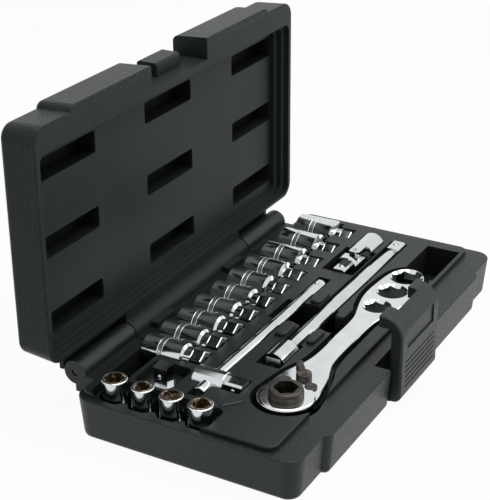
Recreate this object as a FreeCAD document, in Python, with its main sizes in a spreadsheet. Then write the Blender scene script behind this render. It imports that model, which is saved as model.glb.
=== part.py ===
import FreeCAD
import Part
import Sketcher
import math
import os
import re

from FreeCAD import Placement, Rotation, Vector

# A socket wrench set in a hinged moulded case, as separate named solids in one frame.
# The origin is the middle of the base's underside. X runs along the hinge, the front is at -Y, and Z is up.
# The case is drawn closed, and the lid is then turned open about its hinge pin.

os.makedirs("parts", exist_ok=True)
doc = FreeCAD.newDocument("socket_set")
sheet = doc.addObject("Spreadsheet::Sheet", "sizes")

COUNT = ["one", "two", "three", "four", "five", "six", "seven", "eight", "nine", "ten"]
ROW = COUNT[:10]
UPRIGHT = COUNT[:4]
HANDLE_HOLES = COUNT[:3]

# outside of the long sockets and of the upright sockets' noses, and the nuts that each of them takes
ROUND = [11.6, 11.6, 11.8, 12.2, 12.6, 13.2, 14.0, 15.2, 16.0, 16.6]
NUT = [6.0, 6.35, 7.0, 8.0, 8.7, 9.0, 10.0, 11.0, 12.0, 13.0]
UPRIGHT_NUT = [7.0, 5.8, 6.2, 6.8]
UPRIGHT_NOSE = [10.4, 9.2, 9.6, 10.2]
HANDLE_NUT = [10.0, 11.5, 12.5]

SIZES = {
    # case
    "case_width": 200.0,
    "case_depth": 99.0,
    "base_height": 18.3,
    "base_draft": 5.0,
    "corner_radius": 7.0,
    "front_step": 2.3,
    "front_step_width": 156.0,
    "front_step_depth": 30.0,
    "front_step_radius": 4.2,
    "edge_round": 2.2,
    "rim_round": 0.6,
    "floor_thickness": 2.2,
    "side_ledge": 3.0,
    "front_ledge": 11.0,
    "back_ledge": 2.2,
    "tray_rise": 2.0,
    "tray_radius": 4.0,
    # lid
    "lid_thickness": 17.6,
    "lid_draft": 4.0,
    "lid_edge_round": 2.8,
    "rim_gap": 0.15,
    "lid_clearance": 0.4,
    "step_depth": 2.2,
    "step_width": 3.4,
    "narrow_step": 0.9,
    "slot_width": 36.5,
    "slot_height": 9.5,
    "slot_depth": 8.6,
    "slot_radius": 1.2,
    "slot_spacing": 72.0,
    "slot_row_spacing": 32.4,
    "slot_middle": 3.4,
    # hinge
    "hinge_setback": 9.1,
    "hinge_rise": 0.4,
    "hinge_reach": 85.0,
    "hinge_split": 48.0,
    "split_gap": 0.35,
    "knuckle_radius": 5.2,
    "pin_radius": 1.5,
    "pin_clearance": 0.05,
    "pin_seat": 0.01,
    "pin_bearing_length": 5.0,
    "pin_recess": 0.5,
    "apron_thickness": 2.0,
    "web_height": 8.0,
    "web_root": 1.2,
    "heel_thickness": 4.0,
    "heel_width": 14.0,
    "heel_spacing": 60.0,
    "heel_gap": 0.3,
    "open_angle": 90.0,
    # latch
    "notch_width": 44.0,
    "notch_depth": 5.3,
    "lid_notch_depth": 7.3,
    "clasp_width": 38.0,
    "clasp_thickness": 5.0,
    "clasp_front": 5.4,
    "clasp_height": 40.0,
    "clasp_shoulder": 9.5,
    "clasp_foot": 1.6,
    "clasp_heel": 3.4,
    "clasp_pin_height": 6.2,
    "clasp_pin_inset": 0.4,
    "clasp_pin_radius": 1.0,
    "clasp_knuckle": 4.5,
    "lip_setback": 5.2,
    "lip_height": 5.0,
    "hook_setback": 1.0,
    "lug_room": 0.8,
    "panel_width": 27.0,
    "panel_height": 8.0,
    "panel_drop": 7.0,
    "panel_depth": 0.6,
    "grip_width": 30.0,
    "grip_spacing": 2.3,
    "grip_start": 7.4,
    "grip_groove": 0.7,
    "grip_depth": 0.3,
    "clasp_edge": 1.0,
    "lug_width": 18.0,
    "lug_reach": 6.0,
    "lug_low": 6.0,
    "lug_high": 15.9,
    "lug_chamfer": 1.4,
    # tools in general
    "tool_top": 6.4,
    "fit": 0.3,
    "drive_square": 6.35,
    "square_fit": 0.1,
    "square_round": 3.95,
    "square_length": 8.0,
    "square_depth": 9.0,
    "drive_hex": 8.6,
    "ball_radius": 1.3,
    "ball_sunk": 0.8,
    "ball_travel": 0.5,
    "ball_fit": 0.05,
    # long sockets
    "row_start": -59.0,
    "row_gap": 1.9,
    "socket_length": 28.0,
    "hex_length": 5.2,
    "neck_length": 3.2,
    "neck_round": 9.6,
    "shoulder_length": 0.9,
    "nut_depth": 11.0,
    "bore": 4.6,
    "edge_bevel": 0.5,
    "finger_channel": 9.0,
    "finger_channel_start": -82.0,
    "channel_floor": 7.0,
    "channel_end": 3.5,
    # upright sockets and adapter
    "upright_round": 11.4,
    "upright_length": 21.0,
    "upright_x": -89.0,
    "upright_spacing": 13.1,
    "upright_nut_depth": 10.0,
    "upright_room": 0.55,
    "upright_slot_width": 6.0,
    "upright_drive_length": 9.0,
    "upright_taper": 1.5,
    "upright_well_width": 13.2,
    "upright_well_floor": 16.5,
    "well_radius": 3.0,
    "well_margin": 7.2,
    "adapter_x": -71.5,
    "adapter_well_width": 18.4,
    "adapter_well_depth": 17.4,
    "adapter_well_floor": 15.5,
    "adapter_round": 10.4,
    "adapter_length": 20.0,
    # sliding bar and its head
    "bar_round": 5.5,
    "bar_length": 106.5,
    "bar_start": -75.0,
    "bar_slide": 4.0,
    "bar_tip": 0.8,
    "bar_fit": 0.05,
    "stop_x": 27.0,
    "stop_radius": 1.1,
    "stop_sunk": 0.3,
    "head_round": 10.5,
    "head_length": 14.0,
    "head_x": -64.6,
    "head_top": 5.9,
    # extension
    "extension_start": -40.5,
    "extension_length": 126.5,
    "extension_top": 5.0,
    "sleeve_round": 10.5,
    "sleeve_length": 13.0,
    "shank_round": 7.0,
    "sleeve_taper": 3.0,
    "sleeve_gap": 5.0,
    "shank_end_round": 5.2,
    "shank_taper": 24.0,
    # universal joint
    "joint_start": 45.0,
    "joint_round": 11.2,
    "joint_cross": 18.0,
    "joint_length": 39.0,
    "joint_top": 5.4,
    "fork_root": 7.6,
    "fork_arm": 5.2,
    "cross_block": 5.6,
    "fork_gap": 0.15,
    "cross_pin": 1.1,
    "swing_room": 2.3,
    # ratchet
    "ratchet_x": -62.9,
    "ratchet_top": 3.0,
    "ratchet_head": 11.6,
    "ratchet_head_height": 10.0,
    "handle_height": 6.0,
    "handle_drop": 0.5,
    "ratchet_room": 2.4,
    "neck_end": -31.0,
    "flare_x": 4.0,
    "handle_room": 2.2,
    "handle_end": 62.6,
    "handle_half_width": 10.2,
    "handle_waist": 4.9,
    "handle_round": 1.0,
    "ring_flare": 1.4,
    "ring_flare_depth": 2.0,
    "handle_hole_x": 21.5,
    "handle_hole_spacing": 16.1,
    "collar_round": 13.9,
    "collar_fit": 0.05,
    "lever_x": -47.7,
    "lever_radius": 3.2,
    "lever_height": 2.0,
    "lever_pivot": 2.0,
    "lever_tail": 11.0,
    "lever_turn": 38.0,
    "lever_gap": 0.1,
    "lever_depth": 3.0,
    "lever_width": 2.9,
    "screw_x": -52.9,
    "screw_spread": 11.4,
    "screw_radius": 2.5,
    "screw_depth": 3.0,
    "screw_shank": 1.2,
    "screw_head": 1.2,
    "screw_slot": 0.7,
    "screw_cross": 3.2,
    # tray details
    "spare_pocket_end": 90.0,
    "spare_pocket_floor": 5.0,
    "spare_overlap": 6.0,
    "spare_shift": 3.4,
    "spare_half_width": 8.0,
    "grip_well_start": -9.0,
    "grip_well_end": 10.0,
    "grip_well_floor": 6.5,
    "stud_length": 12.0,
    "stud_rise": 1.6,
    "stud_width": 5.4,
    "stud_radius": 2.0,
    "handle_stud_width": 4.2,
    "stud_edge": 0.8,
    "stud_shift": 0.4,
    "stud_offset": 6.6,
    "stud_step": 8.0,
    "stud_drop": 1.6,
    "stud_near_x": -16.0,
    "stud_far_x": 17.0,
}
SIZES.update({f"round_{word}": size for word, size in zip(ROW, ROUND)})
SIZES.update({f"nut_{word}": size for word, size in zip(ROW, NUT)})
SIZES.update({f"upright_nut_{word}": size for word, size in zip(UPRIGHT, UPRIGHT_NUT)})
SIZES.update({f"upright_nose_{word}": size for word, size in zip(UPRIGHT, UPRIGHT_NOSE)})
SIZES.update({f"handle_nut_{word}": size for word, size in zip(HANDLE_HOLES, HANDLE_NUT)})

# lines along which the tools lie, as shares of the case's depth from its middle to the back
LINES = {
    "row_back": 44.5 / 99,
    "upright_y": 36.4 / 99,
    "adapter_y": 25.1 / 99,
    "bar_y": 6.6 / 99,
    "joint_y": 4.8 / 99,
    "extension_y": -7.8 / 99,
    "ratchet_y": -25.5 / 99,
}
cells = {**SIZES, **{alias: f"={share} * case_depth" for alias, share in LINES.items()}}
for line, (alias, size) in enumerate(cells.items(), 1):
    sheet.set(f"A{line}", alias)
    sheet.set(f"B{line}", str(size))
    sheet.setAlias(f"B{line}", alias)
doc.recompute()

# turns that lay a piece drawn along Z along another direction
ALONG = {
    "x": ((0, 1, 0), 90),
    "-x": ((0, 1, 0), -90),
    "y": ((1, 0, 0), -90),
    "-y": ((1, 0, 0), 90),
    "z": ((0, 0, 1), 0),
    "-z": ((1, 0, 0), 180),
}

POINTED = {alias: f"sizes.{alias}" for alias in cells}


def formula(text):
    """The text with each size's name pointed at its cell."""
    return re.sub(r"[a-z][a-z_]*", lambda word: POINTED.get(word.group(), word.group()), text)


def number(text):
    """What a formula comes to, in millimetres or degrees."""
    return float(sheet.evalExpression(formula(text)))


def bind(piece, **formulas):
    """Ties properties of a piece to formulas on the sizes."""
    for name, text in formulas.items():
        piece.setExpression(name, formula(text))
    return piece


def place(piece, x="0", y="0", z="0", along="z", spin=0):
    """Moves a piece to a point given by formulas, turned to lie along a direction."""
    axis, angle = ALONG[along]
    piece.Placement = Placement(Vector(), Rotation(Vector(*axis), angle) * Rotation(Vector(0, 0, 1), spin))
    for name, text in zip("xyz", (x, y, z)):
        piece.setExpression(f"Placement.Base.{name}", formula(text))
    return piece


def box(name, length, width, height, x="0", y="0", z="0"):
    """A block centred on x and y that stands on z."""
    piece = bind(doc.addObject("Part::Box", name), Length=length, Width=width, Height=height)
    return place(piece, f"({x}) - ({length}) / 2", f"({y}) - ({width}) / 2", z)


def cylinder(name, radius, height, x="0", y="0", z="0", along="z"):
    """A cylinder that starts at a point and runs along a direction."""
    piece = bind(doc.addObject("Part::Cylinder", name), Radius=radius, Height=height)
    return place(piece, x, y, z, along)


def cone(name, radius, end_radius, height, x="0", y="0", z="0", along="z"):
    """A cone that starts at a point and runs along a direction."""
    piece = bind(doc.addObject("Part::Cone", name), Radius1=radius, Radius2=end_radius, Height=height)
    return place(piece, x, y, z, along)


def prism(name, sides, across, height, x="0", y="0", z="0", along="z", spin=0):
    """A regular prism, across its flats, that starts at a point and runs along a direction."""
    piece = doc.addObject("Part::Prism", name)
    piece.Polygon = sides
    bind(piece, Circumradius=f"({across}) / 2 / cos({180 / sides} deg)", Height=height)
    return place(piece, x, y, z, along, spin)


def ball(name, radius, x, y, z):
    """A ball about a point."""
    return place(bind(doc.addObject("Part::Sphere", name), Radius=radius), x, y, z)


def outline(name, width, depth, radius):
    """A sketch of a rectangle with round corners about its own origin."""
    sketch = doc.addObject("Sketcher::SketchObject", name)
    a, b, r = number(width) / 2, number(depth) / 2, number(radius)
    corners = [(a - r, -b + r), (a - r, b - r), (-a + r, b - r), (-a + r, -b + r)]
    sides = [
        ((-a + r, -b), (a - r, -b)),
        ((a, -b + r), (a, b - r)),
        ((a - r, b), (-a + r, b)),
        ((-a, b - r), (-a, -b + r)),
    ]
    for (start, end), corner, turn in zip(sides, corners, range(4)):
        sketch.addGeometry(Part.LineSegment(Vector(*start, 0), Vector(*end, 0)), False)
        circle = Part.Circle(Vector(*corner, 0), Vector(0, 0, 1), r)
        sketch.addGeometry(Part.ArcOfCircle(circle, math.pi / 2 * (turn - 1), math.pi / 2 * turn), False)
    for line in range(0, 8, 2):
        sketch.addConstraint(Sketcher.Constraint("Tangent", line, 2, line + 1, 1))
        sketch.addConstraint(Sketcher.Constraint("Tangent", line + 1, 2, (line + 2) % 8, 1))
        sketch.addConstraint(Sketcher.Constraint("Vertical" if line % 4 else "Horizontal", line))
    for arc in (3, 5, 7):
        sketch.addConstraint(Sketcher.Constraint("Equal", 1, arc))
    for kind, first, second, size, text in (
        ("Radius", (1,), (), r, radius),
        ("DistanceX", (6, 1), (-1, 1), a, f"({width}) / 2"),
        ("DistanceX", (-1, 1), (2, 1), a, f"({width}) / 2"),
        ("DistanceY", (0, 1), (-1, 1), b, f"({depth}) / 2"),
        ("DistanceY", (-1, 1), (4, 1), b, f"({depth}) / 2"),
    ):
        index = sketch.addConstraint(Sketcher.Constraint(kind, *first, *second, size))
        sketch.setExpression(f"Constraints[{index}]", formula(text))
    return sketch


def slab(name, width, depth, radius, height, x="0", y="0", z="0", draft="0"):
    """A plate with round corners that stands on z and widens upward by its draft angle."""
    sketch = place(outline(f"{name}_outline", width, depth, radius), x, y, z)
    piece = doc.addObject("Part::Extrusion", name)
    piece.Base = sketch
    piece.DirMode = "Normal"
    piece.Solid = True
    return bind(piece, LengthFwd=height, TaperAngle=draft)


def fuse(name, *pieces):
    """Several pieces made into one."""
    piece = doc.addObject("Part::MultiFuse", name)
    piece.Shapes = list(pieces)
    piece.Refine = True
    return piece


def cut(name, stock, *tools):
    """A piece with others taken away from it."""
    piece = doc.addObject("Part::Cut", name)
    piece.Base = stock
    piece.Tool = tools[0] if len(tools) == 1 else fuse(f"{name}_cutters", *tools)
    piece.Refine = True
    return piece


def common(name, first, second):
    """What two pieces have in common."""
    piece = doc.addObject("Part::Common", name)
    piece.Base = first
    piece.Tool = second
    return piece


def soften(name, stock, radius, wanted):
    """A piece with the wanted edges rounded."""
    doc.recompute()
    piece = doc.addObject("Part::Fillet", name)
    piece.Base = stock
    size = number(radius)
    piece.Edges = [(i, size, size) for i, edge in enumerate(stock.Shape.Edges, 1) if wanted(edge)]
    return piece


def level(edge, height):
    """True for an edge that lies at one height."""
    box = edge.BoundBox
    return abs(box.ZMin - height) < 0.01 and abs(box.ZMax - height) < 0.01


parts = {}
FRONT = "(-case_depth / 2)"
BACK = "(case_depth / 2)"
TRAY = "(base_height + tray_rise)"
OPEN = "(base_height + tray_rise + 2)"
HINGE_Y = "(case_depth / 2 + hinge_setback)"
HINGE_Z = "(base_height + hinge_rise)"
CLASP_Y = "(-case_depth / 2 + clasp_pin_inset)"
CLASP_FACE = "(-case_depth / 2 - clasp_front)"
NOTCH_Y = "(-case_depth / 2 + notch_depth)"
LID_NOTCH_Y = "(-case_depth / 2 + lid_notch_depth)"

# axes and levels of the tools in the tray
SOCKET_X = {}
row_place = "row_start"
for word in ROW:
    SOCKET_X[word] = f"({row_place} + round_{word} / 2)"
    row_place += f" + round_{word} + row_gap"
SOCKET_Z = {word: f"(base_height + tool_top - round_{word} / 2)" for word in ROW}
UPRIGHT_Y = {word: f"(upright_y - {step} * upright_spacing)" for step, word in enumerate(UPRIGHT)}
UPRIGHT_FOOT = "(base_height + tool_top - upright_length)"
ADAPTER_FOOT = "(base_height + tool_top - adapter_length)"
BAR_Z = "(base_height + head_top - head_round / 2)"
BARREL_LENGTH = "(socket_length - shoulder_length - neck_length - hex_length)"
STEM_ROOM = "(max(neck_round; drive_hex / cos(30 deg)) / 2 + fit)"
EXTENSION_Z = "(base_height + extension_top - sleeve_round / 2)"
JOINT_Z = "(base_height + joint_top - joint_round / 2)"
CROSS_X = "(joint_start + joint_cross)"
RATCHET_TOP = "(base_height + ratchet_top)"
RATCHET_FOOT = "(base_height + ratchet_top - ratchet_head_height)"
HANDLE_TOP = "(base_height + ratchet_top - handle_drop)"
HANDLE_FOOT = "(base_height + ratchet_top - handle_drop - handle_height)"


def trough(name, radius, length, x, y, z, along):
    """A round-bottomed channel, open upward, that starts at a point and runs along a direction."""
    tube = cylinder(f"{name}_round", radius, length, x, y, z, along)
    across = f"2 * ({radius})"
    rise = f"{OPEN} - ({z})"
    if along == "x":
        way = box(f"{name}_way", length, across, rise, f"({x}) + ({length}) / 2", y, z)
    else:
        way = box(f"{name}_way", across, length, rise, x, f"({y}) - ({length}) / 2", z)
    return fuse(name, tube, way)


def pit(name, radius, x, y, floor):
    """A round pocket from a floor to above the tray."""
    return cylinder(name, radius, f"{OPEN} - ({floor})", x, y, floor)


def pocket(name, start, end, middle, half_width, floor):
    """A pocket between two places along X, about a middle line, from a floor to above the tray."""
    return box(
        name,
        f"({end}) - ({start})",
        f"2 * ({half_width})",
        f"{OPEN} - ({floor})",
        f"(({start}) + ({end})) / 2",
        middle,
        floor,
    )


def handle_form(name, room, foot, top):
    """The ratchet handle's plan, grown outward by a room and raised from a foot to a top."""
    grown = number(room)
    waist = number("handle_waist") + grown
    widest = number("handle_half_width") + grown
    head = number("ratchet_head") + grown
    start, neck_end, flare = number("ratchet_x"), number("neck_end"), number("flare_x")
    end = number("handle_end") + grown
    neck_line = ((0.06, 0.95), (0.23, 0.92), (0.45, 0.75), (0.63, 0.55), (0.81, 0.24), (1.0, 0.06))
    flare_line = ((0.0, 0.0), (0.09, 0.1), (0.19, 0.38), (0.29, 0.67), (0.4, 0.91), (0.51, 1.0))
    end_line = ((0.65, 0.97), (0.77, 0.91), (0.89, 0.76), (0.965, 0.48), (1.0, 0.0))
    side = [(start + run * (neck_end - start), waist + rise * (head - waist)) for run, rise in neck_line]
    side.append(((neck_end + flare) / 2, waist))
    side += [(flare + run * (end - flare), waist + rise * (widest - waist)) for run, rise in flare_line]
    side += [(flare + run * (end - flare), rise * widest) for run, rise in end_line]
    middle, low = number("ratchet_y"), number(foot)
    rim_points = side + [(x, -y) for x, y in reversed(side[:-1])]
    rim = Part.BSplineCurve()
    rim.interpolate([Vector(x, middle + y, low) for x, y in rim_points])
    closing = Part.LineSegment(rim.EndPoint, rim.StartPoint)
    plan = Part.Face(Part.Wire([rim.toShape(), closing.toShape()]))
    piece = doc.addObject("Part::Feature", name)
    piece.Shape = plan.extrude(Vector(0, 0, number(top) - low))
    return piece


# base: a tapered moulded tray with a proud front, a raised deck, hinge knuckles and a latch notch
inset = "base_height * tan(base_draft * 1 deg)"
base_block = slab(
    "base_block",
    f"case_width - 2 * {inset}",
    f"case_depth - 2 * {inset}",
    f"corner_radius - {inset}",
    "base_height",
    draft="base_draft",
)
base_step = slab(
    "base_step",
    f"front_step_width - 2 * {inset}",
    f"front_step_depth - 2 * {inset}",
    f"front_step_radius - {inset}",
    "base_height",
    y=f"{FRONT} - front_step + front_step_depth / 2",
    draft="base_draft",
)
base_form = fuse("base_form", base_block, base_step)
base_outside = soften("base_outside", base_form, "edge_round", lambda edge: level(edge, 0))
base_rim = soften("base_rim", base_outside, "rim_round", lambda edge: level(edge, number("base_height")))
deck_block = slab(
    "deck_block",
    "case_width - 2 * side_ledge",
    "case_depth - front_ledge - back_ledge",
    "tray_radius",
    "tray_rise + 1",
    y="(front_ledge - back_ledge) / 2",
    z="base_height - 1",
)
deck = soften("deck", deck_block, "rim_round", lambda edge: level(edge, number(TRAY)))
outer_knuckle = "hinge_reach - hinge_split - split_gap"
bearings = []
for side, sign, start in (("left", "-", "-hinge_reach"), ("right", "", "hinge_split + split_gap")):
    bearings.append(
        cylinder(f"base_knuckle_{side}", "knuckle_radius", outer_knuckle, start, HINGE_Y, HINGE_Z, "x")
    )
    bearings.append(
        box(
            f"base_web_{side}",
            outer_knuckle,
            "hinge_setback + web_root",
            "web_height",
            f"{sign}(hinge_reach + hinge_split + split_gap) / 2",
            f"{BACK} + (hinge_setback - web_root) / 2",
            "base_height - web_height",
        )
    )
lid_barrel = "2 * (hinge_split - split_gap)"
lip_block = box(
    "lip_block",
    lid_barrel,
    "hinge_setback - knuckle_radius - fit + web_root",
    "web_height",
    y=f"{BACK} + (hinge_setback - knuckle_radius - fit - web_root) / 2",
    z="base_height - web_height",
)
heel_ways = []
for side, sign in (("left", "-"), ("right", "")):
    heel_ways.append(
        box(
            f"heel_way_{side}",
            "heel_width + 4 * fit",
            "hinge_setback",
            "web_height + 2",
            f"{sign}heel_spacing / 2",
            f"{BACK} + hinge_setback / 2",
            "base_height - web_height - 1",
        )
    )
hinge_lip = cut("hinge_lip", lip_block, *heel_ways)
base_body = fuse("base_body", base_rim, deck, hinge_lip, *bearings)

# tray pockets: each takes its size and place from the tool that lies in it, plus the fit
handle_floor = f"{HANDLE_FOOT} - fit"
wells = [
    pocket(
        "finger_channel",
        "finger_channel_start",
        "case_width / 2 - side_ledge - channel_end",
        "row_back + fit - finger_channel / 2",
        "finger_channel / 2",
        "channel_floor",
    )
]
for word in ROW:
    wells.append(
        trough(
            f"trough_{word}",
            f"round_{word} / 2 + fit",
            f"{BARREL_LENGTH} + shoulder_length + 2 * fit",
            SOCKET_X[word],
            "row_back + fit",
            SOCKET_Z[word],
            "-y",
        )
    )
    wells.append(
        trough(
            f"stem_trough_{word}",
            STEM_ROOM,
            "socket_length + 2 * fit",
            SOCKET_X[word],
            "row_back + fit",
            SOCKET_Z[word],
            "-y",
        )
    )
for word in UPRIGHT:
    wells.append(
        pit(
            f"upright_pit_{word}",
            "upright_round / 2 + upright_room",
            "upright_x",
            UPRIGHT_Y[word],
            f"{UPRIGHT_FOOT} - fit",
        )
    )
insert_left = "(side_ledge - case_width / 2)"
well_right = "(upright_x + upright_well_width / 2)"
wells += [
    slab(
        "upright_well",
        f"{well_right} - {insert_left}",
        "3 * upright_spacing + 2 * well_margin",
        "well_radius",
        f"{OPEN} - upright_well_floor",
        f"({well_right} + {insert_left}) / 2",
        "upright_y - 1.5 * upright_spacing",
        "upright_well_floor",
    ),
    slab(
        "adapter_well",
        "adapter_well_width",
        "adapter_well_depth",
        "well_radius",
        f"{OPEN} - adapter_well_floor",
        "adapter_x",
        "adapter_y",
        "adapter_well_floor",
    ),
    box(
        "upright_slot",
        "upright_slot_width",
        "3 * upright_spacing",
        f"{OPEN} - ({UPRIGHT_FOOT} - fit)",
        "upright_x",
        "upright_y - 1.5 * upright_spacing",
        f"{UPRIGHT_FOOT} - fit",
    ),
    pit("adapter_pit", "adapter_round / 2 + upright_room", "adapter_x", "adapter_y", f"{ADAPTER_FOOT} - fit"),
    trough(
        "bar_trough",
        "bar_round / 2 + fit",
        "bar_length + 2 * bar_slide + 2 * fit",
        "bar_start - bar_slide - fit",
        "bar_y",
        BAR_Z,
        "x",
    ),
    trough(
        "head_trough",
        "head_round / 2 + fit",
        "head_length + square_length + 2 * fit",
        "head_x",
        "bar_y + head_length / 2 + fit",
        BAR_Z,
        "-y",
    ),
    trough(
        "sleeve_trough",
        "sleeve_round / 2 + fit",
        "sleeve_gap + sleeve_length + sleeve_taper + fit",
        "extension_start - sleeve_gap",
        "extension_y",
        EXTENSION_Z,
        "x",
    ),
    trough(
        "shank_trough",
        "square_round + fit",
        "extension_length + 2 * fit",
        "extension_start - fit",
        "extension_y",
        EXTENSION_Z,
        "x",
    ),
    trough(
        "joint_trough",
        "joint_round / 2 + fit",
        "joint_length - joint_cross + fit",
        CROSS_X,
        "joint_y",
        JOINT_Z,
        "x",
    ),
    pocket(
        "joint_well",
        "joint_start - 3 * fit",
        f"{CROSS_X} + fork_root",
        "joint_y",
        "joint_round / 2 + swing_room",
        f"{JOINT_Z} - joint_round / 2 - fit",
    ),
    pit("ratchet_pit", "ratchet_head + ratchet_room", "ratchet_x", "ratchet_y", f"{RATCHET_FOOT} - fit"),
    handle_form("handle_well", "handle_room", handle_floor, OPEN),
    pocket(
        "spare_pocket",
        "handle_end - spare_overlap",
        "spare_pocket_end",
        "ratchet_y - spare_shift",
        "spare_half_width",
        "spare_pocket_floor",
    ),
    pocket(
        "grip_well",
        "grip_well_start",
        "grip_well_end",
        "(bar_y + ratchet_y) / 2",
        "(bar_y - ratchet_y) / 2 + bar_round",
        "grip_well_floor",
    ),
]
notch_reach = "(notch_depth + front_step + 3)"
notch_y = f"{NOTCH_Y} - {notch_reach} / 2"
base_notch = box("base_notch", "notch_width", notch_reach, "base_height + 2", y=notch_y, z="-1")
hinge_bore = cylinder(
    "base_hinge_bore",
    "pin_radius + pin_seat",
    "2 * hinge_reach + 2",
    "-hinge_reach - 1",
    HINGE_Y,
    HINGE_Z,
    "x",
)
clasp_bore = cylinder(
    "base_clasp_bore",
    "clasp_pin_radius + pin_seat",
    "notch_width + 2 * pin_bearing_length",
    "-notch_width / 2 - pin_bearing_length",
    CLASP_Y,
    "clasp_pin_height",
    "x",
)
base_hollowed = cut("base_hollowed", base_body, *wells, base_notch, hinge_bore, clasp_bore)

# studs: rounded posts that stand up from the tray floor between the long tools and hold them apart
stud_top = f"{TRAY} + stud_rise"
studs = []
for name, width, x, y in (
    ("near_bar", "stud_width", "stud_near_x", "(bar_y + extension_y) / 2 + stud_shift"),
    ("far_bar", "stud_width", "stud_far_x", "(bar_y + extension_y) / 2 + stud_shift"),
    ("near_handle", "handle_stud_width", "stud_near_x", "extension_y - stud_offset"),
    ("far_handle", "handle_stud_width", "stud_far_x - stud_step", "extension_y - stud_offset - stud_drop"),
):
    post = slab(
        f"post_{name}",
        "stud_length",
        width,
        "stud_radius",
        f"{stud_top} - floor_thickness",
        x,
        y,
        "floor_thickness",
    )
    studs.append(soften(f"stud_{name}", post, "stud_edge", lambda edge: level(edge, number(stud_top))))
base_whole = fuse("base_whole", base_hollowed, *studs)

# inserts: the tray is fitted into the shell as blocks that meet face to face on the shell's floor
insert_right = "(case_width / 2 - side_ledge - channel_end)"
insert_front = "(front_ledge - case_depth / 2)"
insert_back = "(row_back + fit)"
row_front = "(row_back - socket_length - fit)"
bar_front = "(extension_y - square_round - 1.5 * fit)"
row_middle = SOCKET_X["six"]
well_middle = "((grip_well_start + grip_well_end) / 2)"
blocks = []
for name, start, end, front, back in (
    ("tray_uprights", insert_left, "finger_channel_start", insert_front, insert_back),
    ("tray_row_left", "finger_channel_start", row_middle, row_front, insert_back),
    ("tray_row_right", row_middle, insert_right, row_front, insert_back),
    ("tray_bars", "finger_channel_start", insert_right, bar_front, row_front),
    ("tray_ratchet", "finger_channel_start", well_middle, insert_front, bar_front),
    ("tray_handle", well_middle, insert_right, insert_front, bar_front),
):
    block = box(
        f"{name}_block",
        f"{end} - {start}",
        f"{back} - {front}",
        f"{OPEN} - floor_thickness",
        f"({start} + {end}) / 2",
        f"({front} + {back}) / 2",
        "floor_thickness",
    )
    blocks.append(block)
    parts[name] = common(name, base_whole, block)
parts["base_shell"] = cut("base_shell", base_whole, *blocks)
parts["hinge_pin"] = cylinder(
    "hinge_pin",
    "pin_radius",
    "2 * hinge_reach - 2 * pin_recess",
    "pin_recess - hinge_reach",
    HINGE_Y,
    HINGE_Z,
    "x",
)
parts["clasp_pin"] = cylinder(
    "clasp_pin",
    "clasp_pin_radius",
    "notch_width + 2 * pin_bearing_length - 2 * pin_recess",
    "pin_recess - notch_width / 2 - pin_bearing_length",
    CLASP_Y,
    "clasp_pin_height",
    "x",
)

# lid: a tapered cover with a stepped recess, nine slot pockets, a latch notch with its lug, and a knuckle
lid_foot = "(base_height + rim_gap)"
lid_rise = "(lid_thickness - rim_gap)"
lid_top = "base_height + lid_thickness"
lid_block = slab(
    "lid_block", "case_width", "case_depth", "corner_radius", lid_rise, z=lid_foot, draft="-lid_draft"
)
lid_step = slab(
    "lid_step",
    "front_step_width",
    "front_step_depth",
    "front_step_radius",
    lid_rise,
    y=f"{FRONT} - front_step + front_step_depth / 2",
    z=lid_foot,
    draft="-lid_draft",
)
lid_form = fuse("lid_form", lid_block, lid_step)
lid_outside = soften("lid_outside", lid_form, "lid_edge_round", lambda edge: level(edge, number(lid_top)))
lid_rim = soften("lid_rim", lid_outside, "rim_round", lambda edge: level(edge, number(lid_foot)))
lid_cuts = []
for step in range(3):
    left = f"(case_width / 2 - side_ledge + lid_clearance - {step} * narrow_step)"
    right = f"(case_width / 2 - side_ledge + lid_clearance - {step} * step_width)"
    front = f"(case_depth / 2 - front_ledge + lid_clearance - {step} * narrow_step)"
    back = f"(case_depth / 2 - back_ledge + lid_clearance - {step} * narrow_step)"
    lid_cuts.append(
        slab(
            f"recess_{COUNT[step]}",
            f"{left} + {right}",
            f"{front} + {back}",
            "tray_radius",
            f"tray_rise + lid_clearance + {step} * step_depth + 1",
            f"({right} - {left}) / 2",
            f"({back} - {front}) / 2",
            "base_height - 1",
        )
    )
recess_floor = "(base_height + tray_rise + lid_clearance + 2 * step_depth)"
for column in (-1, 0, 1):
    for line in (-1, 0, 1):
        lid_cuts.append(
            slab(
                f"slot_{column + 1}_{line + 1}",
                "slot_width",
                "slot_height",
                "slot_radius",
                "slot_depth + 1",
                f"{column} * slot_spacing",
                f"slot_middle + {line} * slot_row_spacing",
                f"{recess_floor} - 1",
            )
        )
lid_notch_reach = "(lid_notch_depth + front_step + 3)"
lid_cuts.append(
    box(
        "lid_notch",
        "notch_width",
        lid_notch_reach,
        "lid_thickness + 2",
        y=f"{LID_NOTCH_Y} - {lid_notch_reach} / 2",
        z="base_height - 1",
    )
)
lid_hollowed = cut("lid_hollowed", lid_rim, *lid_cuts)
lug_block = box(
    "lug_block",
    "lug_width",
    "lug_reach + 1",
    "lug_high - lug_low",
    y=f"{LID_NOTCH_Y} + (1 - lug_reach) / 2",
    z="base_height + lug_low",
)
lug_face = number(f"{LID_NOTCH_Y} - lug_reach")
lug = soften(
    "lug",
    lug_block,
    "lug_chamfer",
    lambda edge: edge.BoundBox.YMax < lug_face + 0.01 and edge.BoundBox.XLength > 1,
)
lid_knuckle = cylinder(
    "lid_knuckle", "knuckle_radius", lid_barrel, "split_gap - hinge_split", HINGE_Y, HINGE_Z, "x"
)
lid_web = box(
    "lid_web",
    lid_barrel,
    "hinge_setback + web_root",
    "knuckle_radius + fit + apron_thickness",
    y=f"{BACK} + (hinge_setback - web_root) / 2",
    z=HINGE_Z,
)
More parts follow.
